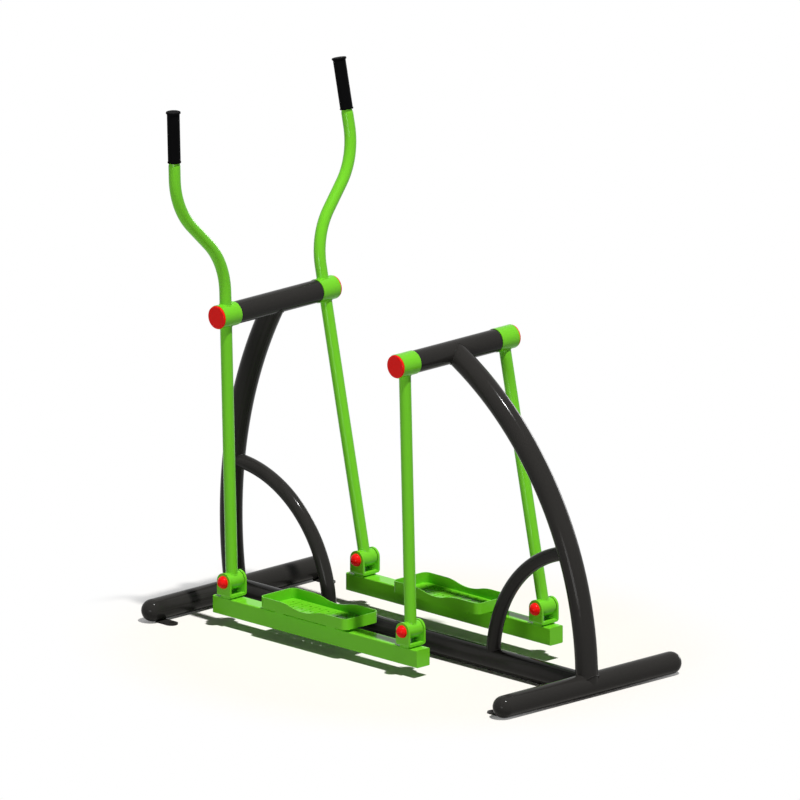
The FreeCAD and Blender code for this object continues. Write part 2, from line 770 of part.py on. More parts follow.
def make_beam(side, beam):
    """Walking beam with its brackets, pivot bolts, pads and pedal tray.

    The frame's origin lies half way between the two pivots, at their height.
    """
    pivots = ("pivot_spacing / 2", "-pivot_spacing / 2")
    finish(f"{side}_beam", make_square_tube(), beam, at(z="beam_middle"))
    plates = [place(make_end_plate(), at(f"{sign}(beam_length + end_plate) / 2", "0", "beam_middle"))
              for sign in ("", "-")]
    finish(f"{side}_beam_end_plates", group(plates), beam)

    finish(f"{side}_clevises", group(place(make_clevis(), at(x)) for x in pivots), beam)
    pads = [block("pad_length", "beam_tube", "pad_plate", x, "0", "beam_top + pad_plate / 2")
            for x in pivots]
    tray_x = f"{side}_tray_shift"
    bars = [block("tray_bar_width", "tray_width - 2 * tray_bar_inset", "tray_lift",
                  f"{tray_x} {sign} tray_bar_spacing / 2", "tray_y", "beam_top + tray_lift / 2")
            for sign in ("+", "-")]
    finish(f"{side}_weld_pads", group(pads + bars), beam)
    finish(f"{side}_tray", make_tray(), beam, at(tray_x, "tray_y", "tray_floor"))

    finish(f"{side}_pivot_bolts", group(place(make_bolt(), at(x)) for x in pivots), beam)
    finish(f"{side}_pivot_nuts", group(place(make_nut(), at(x)) for x in pivots), beam)
    domes = [place(make_dome(), at(x, turn=about_z(turn))) for x in pivots for turn in ("0", "180")]
    finish(f"{side}_pivot_caps", group(domes), beam)


# ---------------------------------------------------------------- the whole machine
def make_side(side, sign, turn):
    """One side's parallelogram at its rest swing."""
    swing = f"{side}_swing"
    swung = f"rotation(vector(0; 1; 0); {swing}) * {about_z(turn)}"
    front_hub = at("front_axis", f"{sign}lever_plane", "axis_height", swung)
    rear_hub = at("rear_axis", f"{sign}lever_plane", "axis_height", swung)
    make_hub(f"{side}_front", front_hub)
    make_handle(side, front_hub)
    make_lever(f"{side}_front", f"{side}_front_lever", front_hub, "running_clearance")
    make_hub(f"{side}_rear", rear_hub)
    make_lever(f"{side}_rear", f"{side}_rear_hanger", rear_hub, "open_pivot_clearance")
    beam = at(f"(front_axis + rear_axis) / 2 - lever_length * sin({swing})", f"{sign}lever_plane",
              f"axis_height - lever_length * cos({swing})", about_z(turn))
    make_beam(side, beam)


def check():
    """Stops the build where an object failed or a sub-part has no valid shape."""
    for item in doc.Objects:
        if {"Invalid", "Error"} & set(item.State):
            raise RuntimeError(f"{item.Label} ({item.Name}) failed: {item.State}")
    for item in parts:
        if item.Shape.isNull() or not item.Shape.isValid():
            raise RuntimeError(f"{item.Label} has no valid shape")


def main():
    """Builds the air walker and writes one STEP file for each sub-part."""
    fill_sheet()
    make_feet()
    make_frame()
    make_axles()
    make_side("left", "", "0")
    make_side("right", "-", "180")
    doc.recompute()
    check()
    os.makedirs("parts", exist_ok=True)
    for item in parts:
        item.Shape.exportStep(f"parts/{item.Label}.step")


main()
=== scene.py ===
"""Looks of the outdoor air walker: painted steel tube, weld beads, moulded caps and rubber grips.

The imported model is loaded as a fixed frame, in metres: +X forwards, +Y to the user's left, +Z up.
Every solid keeps its shape and gets a procedural finish.  Weld beads are added where the tubes of
the real machine are welded together.
"""
from __future__ import annotations

import json
import logging
from dataclasses import dataclass
from enum import Enum

import bpy
import numpy as np
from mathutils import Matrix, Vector

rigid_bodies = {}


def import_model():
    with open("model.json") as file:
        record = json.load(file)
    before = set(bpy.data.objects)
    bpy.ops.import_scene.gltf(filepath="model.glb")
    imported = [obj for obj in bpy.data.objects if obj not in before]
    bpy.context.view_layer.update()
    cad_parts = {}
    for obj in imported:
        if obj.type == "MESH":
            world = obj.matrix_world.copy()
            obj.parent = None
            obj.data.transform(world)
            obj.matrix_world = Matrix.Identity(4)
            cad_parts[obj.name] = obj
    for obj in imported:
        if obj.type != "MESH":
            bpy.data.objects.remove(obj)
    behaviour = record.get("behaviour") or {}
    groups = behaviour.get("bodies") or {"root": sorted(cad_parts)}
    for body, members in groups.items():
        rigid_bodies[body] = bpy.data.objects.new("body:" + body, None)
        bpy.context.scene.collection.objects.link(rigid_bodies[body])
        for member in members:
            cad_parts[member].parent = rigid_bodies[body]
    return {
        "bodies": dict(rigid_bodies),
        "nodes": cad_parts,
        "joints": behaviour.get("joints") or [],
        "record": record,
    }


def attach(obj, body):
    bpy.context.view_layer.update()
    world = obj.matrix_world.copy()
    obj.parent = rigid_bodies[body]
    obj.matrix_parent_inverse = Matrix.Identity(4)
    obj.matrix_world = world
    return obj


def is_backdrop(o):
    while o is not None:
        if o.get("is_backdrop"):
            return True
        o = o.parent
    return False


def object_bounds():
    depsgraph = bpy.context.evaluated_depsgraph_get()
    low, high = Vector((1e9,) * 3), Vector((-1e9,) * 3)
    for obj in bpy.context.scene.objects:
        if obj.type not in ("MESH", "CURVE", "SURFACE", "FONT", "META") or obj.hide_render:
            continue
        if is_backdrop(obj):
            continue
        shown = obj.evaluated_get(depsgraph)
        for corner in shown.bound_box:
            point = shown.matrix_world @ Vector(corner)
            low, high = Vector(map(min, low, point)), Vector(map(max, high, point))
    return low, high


LOG = logging.getLogger("air_walker")
FORWARD = np.array((1.0, 0.0, 0.0))
LEFT = np.array((0.0, 1.0, 0.0))
UP = np.array((0.0, 0.0, 1.0))
WHITE = (1.0, 1.0, 1.0, 1.0)


# ---------------------------------------------------------------- shader maths
class Signal:
    """A node's output, on which Python arithmetic adds Math nodes."""

    def __init__(self, shader: Shader, output: bpy.types.NodeSocket) -> None:
        """Keeps the output socket and the shader whose node tree holds it."""
        self.shader = shader
        self.output = output

    def _math(self, operation: str, first: Signal | float, second: Signal | float) -> Signal:
        """Adds one Math node for an operation on two values or signals, and takes its result."""
        return self.shader.add("ShaderNodeMath", {"operation": operation}, {0: first, 1: second})

    def __add__(self, other: Signal | float) -> Signal:
        """Adds a value or signal."""
        return self._math("ADD", self, other)

    def __radd__(self, other: Signal | float) -> Signal:
        """Adds this signal to a value."""
        return self._math("ADD", other, self)

    def __sub__(self, other: Signal | float) -> Signal:
        """Takes a value or signal away."""
        return self._math("SUBTRACT", self, other)

    def __rsub__(self, other: Signal | float) -> Signal:
        """Takes this signal from a value."""
        return self._math("SUBTRACT", other, self)

    def __mul__(self, other: Signal | float) -> Signal:
        """Multiplies by a value or signal."""
        return self._math("MULTIPLY", self, other)

    def __rmul__(self, other: Signal | float) -> Signal:
        """Multiplies a value by this signal."""
        return self._math("MULTIPLY", other, self)


SocketValue = Signal | float | tuple[float, ...]


class Shader:
    """The node tree of a material or of the world, built node by node."""

    def __init__(self, holder: bpy.types.Material | bpy.types.World) -> None:
        """Starts an empty tree.

        Args:
            holder: The new material or world that holds the tree.
        """
        self.holder = holder
        self.holder.use_nodes = True
        self.tree = self.holder.node_tree
        self.tree.nodes.clear()

    def node(self, kind: str, settings: dict[str, str] | None = None,
             inputs: dict[str | int, SocketValue] | None = None) -> bpy.types.Node:
        """Adds a node.

        Args:
            kind: The node's type.
            settings: Its properties, set before its sockets.
            inputs: Values or signals for its sockets, by name or number.

        Returns:
            The new node.
        """
        node = self.tree.nodes.new(kind)
        for name, value in (settings or {}).items():
            setattr(node, name, value)
        for socket, value in (inputs or {}).items():
            if isinstance(value, Signal):
                self.tree.links.new(value.output, node.inputs[socket])
            else:
                node.inputs[socket].default_value = value
        return node

    def add(self, kind: str, settings: dict[str, str] | None = None,
            inputs: dict[str | int, SocketValue] | None = None, output: str | int = 0) -> Signal:
        """Adds a node in the same way, and takes its output of this name or number."""
        return Signal(self, self.node(kind, settings, inputs).outputs[output])

    def place(self) -> Signal:
        """The point on the surface, in the object's own metres."""
        return self.add("ShaderNodeTexCoord", output="Object")

    def seen(self) -> Signal:
        """Tells what is looked at from what only lights the machine.

        Returns:
            1 for rays that the camera, a glossy surface or a clear one sends, and 0 for others.
        """
        rays = self.node("ShaderNodeLightPath")
        camera, glossy, clear = (Signal(self, rays.outputs[f"Is {kind} Ray"])
                                 for kind in ("Camera", "Glossy", "Transmission"))
        return camera + glossy + clear

    def noise(self, size: float, detail: float) -> Signal:
        """Adds noise about 0.5, between 0 and 1, with blots of this size in metres."""
        return self.add("ShaderNodeTexNoise", None, {
            "Vector": self.place(), "Scale": 1.0 / size, "Detail": detail})

    def blend(self, factor: Signal, first: tuple[float, ...], second: tuple[float, ...]) -> Signal:
        """Mixes two linear colours in a Mix node's colour sockets, where 0 gives the first."""
        return self.add("ShaderNodeMix", {"data_type": "RGBA"},
                        {0: factor, 6: (*first, 1.0), 7: (*second, 1.0)}, output=2)

    def bump(self, height: Signal, depth: float) -> Signal:
        """Turns a height from 0 to 1 into a bumped normal, with the depth of 1 in metres."""
        return self.add("ShaderNodeBump", None, {"Height": height, "Distance": depth})

    def finish(self, surface: Signal) -> bpy.types.Material | bpy.types.World:
        """Connects the surface to the tree's output.

        Args:
            surface: The shader that the surface or the world shows.

        Returns:
            The finished material or world.
        """
        kind = "World" if isinstance(self.holder, bpy.types.World) else "Material"
        self.node(f"ShaderNodeOutput{kind}", inputs={"Surface": surface})
        return self.holder


# ---------------------------------------------------------------- finishes
@dataclass(frozen=True)
class PowderCoat:
    """Glossy powder coat: an even colour with a faint orange-peel skin.

    Attributes:
        name: The record's material slot.
        colour: The paint's lighter clouds, linear.
        deep_colour: Its deeper clouds, linear.
        roughness: The roughness in the middle of its range.
        specular: How strongly it mirrors.
        coat: The weight of the clear layer on top.
        coat_roughness: The roughness of that layer.
        cloud_size: The size of the broad clouds, in metres.
        fine_size: The size of the fine clouds, in metres.
        fine_share: The fine clouds' share of the colour's unevenness.
        gloss_range: How far the roughness varies.
        peel_size: The size of the orange peel's dimples, in metres.
        peel_depth: The depth of the dimples, in metres.
    """

    name: str
    colour: tuple[float, float, float]
    deep_colour: tuple[float, float, float]
    roughness: float = 0.2
    specular: float = 0.1
    coat: float = 0.06
    coat_roughness: float = 0.06
    cloud_size: float = 0.22
    fine_size: float = 0.011
    fine_share: float = 0.2
    gloss_range: float = 0.08
    peel_size: float = 0.0035
    peel_depth: float = 0.00002

    def material(self) -> bpy.types.Material:
        """Builds the paint: clouded colour, uneven gloss and orange peel.

        Returns:
            The new material.
        """
        shader = Shader(bpy.data.materials.new(self.name))
        cloud = shader.noise(self.cloud_size, detail=3.0)
        fine = shader.noise(self.fine_size, detail=2.0)
        peel = shader.noise(self.peel_size, detail=1.0)
        tone = cloud * (1.0 - self.fine_share) + fine * self.fine_share
        return shader.finish(shader.add("ShaderNodeBsdfPrincipled", None, {
            "Base Color": shader.blend(tone, self.deep_colour, self.colour),
            "Roughness": self.roughness + (fine - 0.5) * self.gloss_range,
            "Specular IOR Level": self.specular,
            "Coat Weight": self.coat,
            "Coat Roughness": self.coat_roughness,
            "Normal": shader.bump(peel, self.peel_depth),
        }))


@dataclass(frozen=True)
class MouldedPlastic:
    """Glossy moulded plastic with a faint flow texture.

    Attributes:
        name: The record's material slot.
        colour: The plastic's lighter flow marks, linear.
        deep_colour: Its deeper flow marks, linear.
        roughness: The roughness in the middle of its range.
        specular: How strongly it mirrors.
        coat: The weight of the glossy skin.
        coat_roughness: The roughness of that skin.
        flow_size: The size of the flow marks, in metres.
        gloss_range: How far the roughness varies.
        grain_size: The size of the mould's grain, in metres.
        grain_depth: The depth of the grain, in metres.
    """

    name: str
    colour: tuple[float, float, float]
    deep_colour: tuple[float, float, float]
    roughness: float = 0.24
    specular: float = 0.05
    coat: float = 0.06
    coat_roughness: float = 0.05
    flow_size: float = 0.018
    gloss_range: float = 0.1
    grain_size: float = 0.0012
    grain_depth: float = 0.000004

    def material(self) -> bpy.types.Material:
        """Builds the plastic: flow marks in the colour and a fine grain.

        Returns:
            The new material.
        """
        shader = Shader(bpy.data.materials.new(self.name))
        flow = shader.noise(self.flow_size, detail=3.0)
        grain = shader.noise(self.grain_size, detail=1.0)
        return shader.finish(shader.add("ShaderNodeBsdfPrincipled", None, {
            "Base Color": shader.blend(flow, self.deep_colour, self.colour),
            "Roughness": self.roughness + (flow - 0.5) * self.gloss_range,
            "Specular IOR Level": self.specular,
            "Coat Weight": self.coat,
            "Coat Roughness": self.coat_roughness,
            "Normal": shader.bump(grain, self.grain_depth),
        }))


@dataclass(frozen=True)
class GripRubber:
    """Matt black rubber with a fine pebbled skin.

    Attributes:
        name: The record's material slot.
        colour: The clean rubber, linear.
        dusty_colour: The rubber where dust lies, linear.
        roughness: The roughness in the middle of its range.
        gloss_range: How far the roughness varies.
        specular: How strongly it mirrors.
        dust_size: The size of the dusty patches, in metres.
        pebble_size: The size of one pebble, in metres.
        pebble_depth: The height of a pebble, in metres.
    """

    name: str
    colour: tuple[float, float, float] = (0.002, 0.002, 0.002)
    dusty_colour: tuple[float, float, float] = (0.004, 0.004, 0.0045)
    roughness: float = 0.62
    gloss_range: float = 0.15
    specular: float = 0.02
    dust_size: float = 0.03
    pebble_size: float = 0.0016
    pebble_depth: float = 0.00018

    def material(self) -> bpy.types.Material:
        """Builds the rubber: pebbles in the normal and dust in the colour.

        Returns:
            The new material.
        """
        shader = Shader(bpy.data.materials.new(self.name))
        pebbles = shader.add("ShaderNodeTexVoronoi", {"feature": "SMOOTH_F1"}, {
            "Vector": shader.place(), "Scale": 1.0 / self.pebble_size})
        dust = shader.noise(self.dust_size, detail=4.0)
        return shader.finish(shader.add("ShaderNodeBsdfPrincipled", None, {
            "Base Color": shader.blend(dust, self.colour, self.dusty_colour),
            "Roughness": self.roughness + (dust - 0.5) * self.gloss_range,
            "Specular IOR Level": self.specular,
            "Normal": shader.bump(pebbles, self.pebble_depth),
        }))


@dataclass(frozen=True)
class TurnedSteel:
    """Turned and zinc-plated steel, with fine tool marks round its axis.

    Attributes:
        name: The record's material slot.
        colour: The bright plating, linear.
        worn_colour: The plating where it is dull, linear.
        roughness: The roughness in the middle of its range.
        gloss_range: How far the roughness varies.
        stain_size: The size of the dull patches, in metres.
        mark_size: The scale of the tool marks, in metres, which holds about three of them.
        mark_depth: The depth of the marks, in metres.
        mark_wander: How far the marks stray from true rings.
    """

    name: str
    colour: tuple[float, float, float] = (0.56, 0.57, 0.58)
    worn_colour: tuple[float, float, float] = (0.42, 0.42, 0.41)
    roughness: float = 0.32
    gloss_range: float = 0.16
    stain_size: float = 0.02
    mark_size: float = 0.0006
    mark_depth: float = 0.00001
    mark_wander: float = 1.5

    def material(self) -> bpy.types.Material:
        """Builds the steel: tool marks round the Y axis, about which all its pieces are turned.

        Returns:
            The new material.
        """
        shader = Shader(bpy.data.materials.new(self.name))
        rings = shader.add("ShaderNodeTexWave", {"bands_direction": "Y"}, {
            "Vector": shader.place(), "Scale": 1.0 / self.mark_size,
            "Distortion": self.mark_wander})
        stain = shader.noise(self.stain_size, detail=4.0)
        return shader.finish(shader.add("ShaderNodeBsdfPrincipled", None, {
            "Base Color": shader.blend(stain, self.worn_colour, self.colour),
            "Metallic": 1.0,
            "Roughness": self.roughness + (stain - 0.5) * self.gloss_range,
            "Normal": shader.bump(rings, self.mark_depth),
        }))


class Finish(Enum):
    """The machine's finishes, by the record's material slot."""

    FRAME_PAINT = PowderCoat("frame_paint", (0.031, 0.029, 0.027), (0.023, 0.022, 0.020),
                             specular=0.055, roughness=0.12, coat=0.0)
    GREEN_PAINT = PowderCoat("green_paint", (0.186, 0.66, 0.023), (0.162, 0.60, 0.019))
    RED_PLASTIC = MouldedPlastic("red_plastic", (0.95, 0.010, 0.008), (0.88, 0.008, 0.006))
    GRIP_RUBBER = GripRubber("grip_rubber")
    STEEL = TurnedSteel("steel")


class Paintbox:
    """Makes each finish's material once and puts it on pieces."""

    def __init__(self) -> None:
        """Builds all the materials."""
        self.materials = {finish: finish.value.material() for finish in Finish}

    def dress(self, piece: bpy.types.Object, finish: Finish) -> None:
        """Gives a mesh object its finish, in place of any that it had."""
        piece.data.materials.clear()
        piece.data.materials.append(self.materials[finish])

    def dress_solids(self, frame: dict) -> None:
        """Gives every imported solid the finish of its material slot.
        """
        for part in frame["record"]["subparts"]:
            finish = Finish[part["material_slot"].upper()]
            self.dress(frame["nodes"][part["node"]], finish)
            LOG.info("%s: %s", part["node"], finish.value.name)


# ---------------------------------------------------------------- tubes and their seams
@dataclass(frozen=True)
class StraightTube:
    """A round tube along a straight line.

    Attributes:
        start: A point on its centre line.
        way: The unit vector along it.
        radius: Its outer radius, in metres.
    """

    start: np.ndarray
    way: np.ndarray
    radius: float

    def skin(self, along: np.ndarray, angle: np.ndarray) -> np.ndarray:
        """Points on the skin: the centre line's point, plus the radius at an angle round it.

        The angle starts square to the tube and to the frame's axis that lies most across it.

        Args:
            along: Distances from the start.
            angle: Angles round the tube.

        Returns:
            The points, one for each pair.
        """
        side = np.cross(self.way, np.eye(3)[np.argmin(np.abs(self.way))])
        side = side / np.linalg.norm(side)
        other = np.cross(self.way, side)
        outward = np.cos(angle)[:, None] * side + np.sin(angle)[:, None] * other
        return self.start + along[:, None] * self.way + self.radius * outward

    def clearance(self, points: np.ndarray) -> np.ndarray:
        """How far points lie outside the tube: their distance to its line, less its radius.

        Args:
            points: The points.

        Returns:
            The distances, negative inside.
        """
        offset = points - self.start
        across = offset - (offset @ self.way)[:, None] * self.way
        return np.linalg.norm(across, axis=1) - self.radius


@dataclass(frozen=True)
class BentTube:
    """A round tube bent about an axis along Y, starting at one end of its arc.

    Attributes:
        centre: The arc's centre.
        bend: The arc's radius, in metres.
        start_angle: The angle at which it starts, from forwards towards up.
        turn: 1 where the angle grows along it, and -1 where it shrinks.
        radius: The tube's outer radius, in metres.
    """

    centre: np.ndarray
    bend: float
    start_angle: float
    turn: float
    radius: float

    def skin(self, along: np.ndarray, angle: np.ndarray) -> np.ndarray:
        """Points on the skin: the arc's point, plus the radius at an angle round it.

        Args:
            along: Distances from the start, along the arc.
            angle: Angles round the tube.

        Returns:
            The points, one for each pair.
        """
        swept = self.start_angle + self.turn * along / self.bend
        outward = np.cos(swept)[:, None] * FORWARD + np.sin(swept)[:, None] * UP
        reach = self.bend + self.radius * np.cos(angle)
        sideways = self.radius * np.sin(angle)
        return self.centre + reach[:, None] * outward + sideways[:, None] * LEFT

    def clearance(self, points: np.ndarray) -> np.ndarray:
        """How far points lie outside the tube: their distance to its arc's circle, less its radius.

        Args:
            points: The points.

        Returns:
            The distances, negative inside.
        """
        offset = points - self.centre
        flat = np.hypot(offset[:, 0], offset[:, 2]) - self.bend
        return np.hypot(flat, offset[:, 1]) - self.radius


Tube = StraightTube | BentTube


def closed_grid_mesh(name: str, grid: np.ndarray) -> bpy.types.Object:
    """Makes a mesh from a grid of points that closes on itself both ways.

    Each face has four neighbouring points as its corners, in the order that turns it outwards.

    Args:
        name: The object's name.
        grid: The points, counted along and round.

    Returns:
        The new object, smooth and with its faces outwards.
    """
    along, around = grid.shape[:2]
    points = np.arange(along * around).reshape(along, around)
    ahead = np.roll(points, -1, axis=0)
    corners = [ahead, np.roll(ahead, -1, axis=1), np.roll(points, -1, axis=1), points]
    faces = np.stack(corners, axis=-1).reshape(-1, 4)
    mesh = bpy.data.meshes.new(name)
    mesh.from_pydata(grid.reshape(-1, 3).tolist(), [], faces.tolist())
    mesh.shade_smooth()
    piece = bpy.data.objects.new(name, mesh)
    bpy.context.scene.collection.objects.link(piece)
    return piece


@dataclass(frozen=True)
class WeldBead:
    """A weld bead round the joint where a branch tube meets one or more others.

    Attributes:
        name: The piece's name.
        branch: The tube whose end is welded.
        mains: The tubes that it is welded to.
        body: The body that the bead rides on.
        finish: The paint that covers it.
        box: The machine's lowest and highest corners.
        throat: The radius of the bead's section, in metres.
        ripple_pitch: The length of one ripple, in metres.
        ripple_depth: How far a ripple swells the section, as a share of the throat.
        reach: The furthest that the seam may lie along the branch, in metres.
        halvings: How many times the search for the seam halves that reach.
        measuring_points: How many points the seam has while its length is measured.
        fewest_ripples: The fewest ripples that the bead has.
        steps_per_ripple: How many points follow one ripple.
        section_steps: How many points go round the section.
    """

    name: str
    branch: Tube
    mains: tuple[Tube, ...]
    body: str
    finish: Finish
    box: np.ndarray
    throat: float
    ripple_pitch: float = 0.0028
    ripple_depth: float = 0.10
    reach: float = 0.16
    halvings: int = 30
    measuring_points: int = 180
    fewest_ripples: int = 8
    steps_per_ripple: int = 4
    section_steps: int = 10

    def seam(self, count: int) -> np.ndarray:
        """The line where the branch's skin comes out of the other tubes.

        Along each line on the branch's skin, halving finds the distance at which its clearance
        from the nearest of the other tubes passes through nought.

        Args:
            count: How many points it has.

        Returns:
            The points, in order round the branch.
        """
        angle = np.linspace(0.0, 2.0 * np.pi, count, endpoint=False)
        inner = np.zeros(count)
        outer = np.full(count, self.reach)
        for _ in range(self.halvings):
            middle = (inner + outer) / 2.0
            points = self.branch.skin(middle, angle)
            outside = np.min([main.clearance(points) for main in self.mains], axis=0) > 0.0
            outer = np.where(outside, middle, outer)
            inner = np.where(outside, inner, middle)
        return self.branch.skin(outer, angle)

    def grid(self) -> np.ndarray:
        """The bead's skin: a round section carried along the seam, swelling once in each ripple.

        Returns:
            Points on a grid: along the seam, then round the section.
        """
        rough = self.seam(self.measuring_points)
        length = np.linalg.norm(np.roll(rough, -1, axis=0) - rough, axis=1).sum()
        ripples = max(int(round(length / self.ripple_pitch)), self.fewest_ripples)
        line = self.seam(ripples * self.steps_per_ripple)
        tangent = np.roll(line, -1, axis=0) - np.roll(line, 1, axis=0)
        tangent /= np.linalg.norm(tangent, axis=1)[:, None]
        outward = line - line.mean(axis=0)
        outward -= np.sum(outward * tangent, axis=1)[:, None] * tangent
        outward /= np.linalg.norm(outward, axis=1)[:, None]
        across = np.cross(tangent, outward)
        phase = np.linspace(0.0, 2.0 * np.pi * ripples, len(line), endpoint=False)
        radius = self.throat * (1.0 + self.ripple_depth * np.cos(phase))
        turn = np.linspace(0.0, 2.0 * np.pi, self.section_steps, endpoint=False)
        section = (np.cos(turn)[None, :, None] * outward[:, None, :]
                   + np.sin(turn)[None, :, None] * across[:, None, :])
        return line[:, None, :] + radius[:, None, None] * section

    def build(self, paintbox: Paintbox) -> None:
        """Makes the bead, dressed flush with the machine's outermost faces, and lets it ride.

        Args:
            paintbox: Where its finish comes from.
        """
        piece = closed_grid_mesh(self.name, np.clip(self.grid(), *self.box))
        paintbox.dress(piece, self.finish)
        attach(piece, self.body)
        LOG.info("%s rides on %s", self.name, self.body)


@dataclass(frozen=True)
class Column:
    """A column's centre line: a straight foot end, a bend towards the middle, a straight top end.

    Attributes:
        foot: The centre line's lower end, inside the foot tube.
        top: Its upper end, inside the cross tube.
        outwards: 1 for the front column, and -1 for the rear one.
        lean: The angle by which the foot end leans outwards.
        radius: The tube's outer radius, in metres.
        end: The length of each straight end, in metres.
    """

    foot: np.ndarray
    top: np.ndarray
    outwards: float
    lean: float
    radius: float
    end: float = 0.050

    def foot_way(self) -> np.ndarray:
        """The way of the foot end: up, and outwards by the lean."""
        return self.outwards * np.sin(self.lean) * FORWARD + np.cos(self.lean) * UP

    def inward(self) -> np.ndarray:
        """The way across the foot end, towards the middle of the machine."""
        return np.sin(self.lean) * UP - self.outwards * np.cos(self.lean) * FORWARD

    def half_turn(self) -> float:
        """Half of the bend's angle, which lies between the foot end and the whole chord."""
        chord = self.top - self.foot
        return float(np.arccos(chord @ self.foot_way() / np.linalg.norm(chord)))

    def bend(self) -> float:
        """The bend's radius, with which half the bend and one end reach half the chord."""
        half_chord = np.linalg.norm(self.top - self.foot) / 2.0
        return float((half_chord - self.end * np.cos(self.half_turn())) / np.sin(self.half_turn()))

    def bend_centre(self) -> np.ndarray:
        """The centre about which the column is bent."""
        return self.foot + self.end * self.foot_way() + self.bend() * self.inward()

    def foot_end(self) -> StraightTube:
        """The straight end at the foot tube, counted upwards."""
        return StraightTube(self.foot, self.foot_way(), self.radius)

    def top_end(self) -> StraightTube:
        """The straight end at the cross tube, which leans inwards by the whole bend.

        Returns:
            The tube, counted downwards from the cross tube.
        """
        turn = 2.0 * self.half_turn()
        way = np.cos(turn) * self.foot_way() + np.sin(turn) * self.inward()
        return StraightTube(self.top, -way, self.radius)

    def arc(self) -> BentTube:
        """The bent stretch between the straight ends.

        Returns:
            The tube, counted upwards from the foot end.
        """
        start = -self.inward()
        return BentTube(self.bend_centre(), self.bend(), float(np.arctan2(start[2], start[0])),
                        self.outwards, self.radius)


@dataclass(frozen=True)
class FrameWelds:
    """The weld beads of the fixed frame.

    Attributes:
        hubs: The front and rear hubs' places, level with the cross tubes.
        box: The machine's lowest and highest corners.
        foot_x: How far each foot tube lies from the middle, in metres.
        tube: The outer radius of the feet, rail, columns and cross tubes, in metres.
        brace: The outer radius of the braces, in metres.
        brace_bend: The radius to which the braces are bent, in metres.
        front_lean: The angle by which the front column's foot leans outwards.
        rear_lean: The same angle at the rear column.
        throat: The radius of the beads' section, in metres.
    """

    hubs: dict[str, np.ndarray]
    box: np.ndarray
    foot_x: float = 0.825
    tube: float = 0.038
    brace: float = 0.024
    brace_bend: float = 0.441
    front_lean: float = np.radians(7.9)
    rear_lean: float = np.radians(-2.1)
    throat: float = 0.0022

    def braces(self, column: Column) -> tuple[BentTube, BentTube]:
        """One brace, bent about the foot of its column, counted from the rail and from the column.

        Seen from its foot, the column strays inwards from the way of its foot end.  Where the
        brace's circle meets it, the sine of that angle is close to the square of the brace's bend
        less the straight end, over twice the product of the two bends.  The brace's top is then
        right to 0.3 mm, which does for a start: the search for the seam goes on along the circle.

        Args:
            column: The column that it props.

        Returns:
            The brace from its foot, and the brace from its top.
        """
        rise = (self.brace_bend - column.end) ** 2 / (2.0 * self.brace_bend)
        sweep = np.pi / 2.0 + column.lean - np.arcsin(rise / column.bend())
        low = np.pi if column.outwards > 0.0 else 0.0
        high = low - column.outwards * sweep
        return (BentTube(column.foot, self.brace_bend, low, -column.outwards, self.brace),
                BentTube(column.foot, self.brace_bend, high, column.outwards, self.brace))

    def build(self, paintbox: Paintbox) -> None:
        """Makes all the beads of the frame.

        Args:
            paintbox: Where their finish comes from.
        """
        rail = StraightTube(self.tube * UP, FORWARD, self.tube)
        ends = (("front", 1.0, self.front_lean), ("rear", -1.0, self.rear_lean))
        for end, outwards, lean in ends:
            corner = outwards * self.foot_x * FORWARD + self.tube * UP
            top = self.hubs[end] * (FORWARD + UP)
            foot = StraightTube(corner, LEFT, self.tube)
            cross = StraightTube(top, LEFT, self.tube)
            column = Column(corner, top, outwards, lean, self.tube)
            low_brace, high_brace = self.braces(column)
            seams = {
                "rail": (StraightTube(corner, -outwards * FORWARD, self.tube), (foot,)),
                "column_foot": (column.foot_end(), (foot, rail)),
                "column_top": (column.top_end(), (cross,)),
                "brace_foot": (low_brace, (rail,)),
                "brace_top": (high_brace, (column.arc(),)),
            }
            for seam, (branch, mains) in seams.items():
                bead = WeldBead(f"{end}_{seam}_weld", branch, mains, "frame", Finish.FRAME_PAINT,
                                self.box, self.throat)
                bead.build(paintbox)


@dataclass(frozen=True)
class SideWelds:
    """The weld beads of one side's lever and hanger.

    Attributes:
        side: The side's name, left or right.
        hubs: The front and rear hubs' places.
        down: The unit vector from a hub to the pivot under it.
        lever_length: The distance between the two, in metres.
        box: The machine's lowest and highest corners.
        lever: The outer radius of the lever, hanger and handle tubes, in metres.
        hub: The outer radius of the hub collars, in metres.
        barrel: The outer radius of the pivot barrels, in metres.
        throat: The radius of the beads' section, in metres.
        ripple_pitch: The length of one ripple, in metres.
    """

    side: str
    hubs: dict[str, np.ndarray]
    down: np.ndarray
    lever_length: float
    box: np.ndarray
    lever: float = 0.020
    hub: float = 0.040
    barrel: float = 0.0285
    throat: float = 0.0018
    ripple_pitch: float = 0.0024

    def build(self, paintbox: Paintbox) -> None:
        """Makes the beads at the hubs and barrels.

        Args:
            paintbox: Where their finish comes from.
        """
        for end, body in (("front", f"{self.side}_lever"), ("rear", f"{self.side}_hanger")):
            hub = self.hubs[end]
            pivot = hub + self.lever_length * self.down
            collar = StraightTube(hub, LEFT, self.hub)
            barrel = StraightTube(pivot, LEFT, self.barrel)
            seams = {
                "hub": (StraightTube(hub, self.down, self.lever), collar),
                "barrel": (StraightTube(pivot, -self.down, self.lever), barrel),
            }
            if end == "front":
                seams["handle"] = (StraightTube(hub, -self.down, self.lever), collar)
            for seam, (branch, main) in seams.items():
                bead = WeldBead(f"{self.side}_{end}_{seam}_weld", branch, (main,), body,
                                Finish.GREEN_PAINT, self.box, self.throat, self.ripple_pitch)
                bead.build(paintbox)


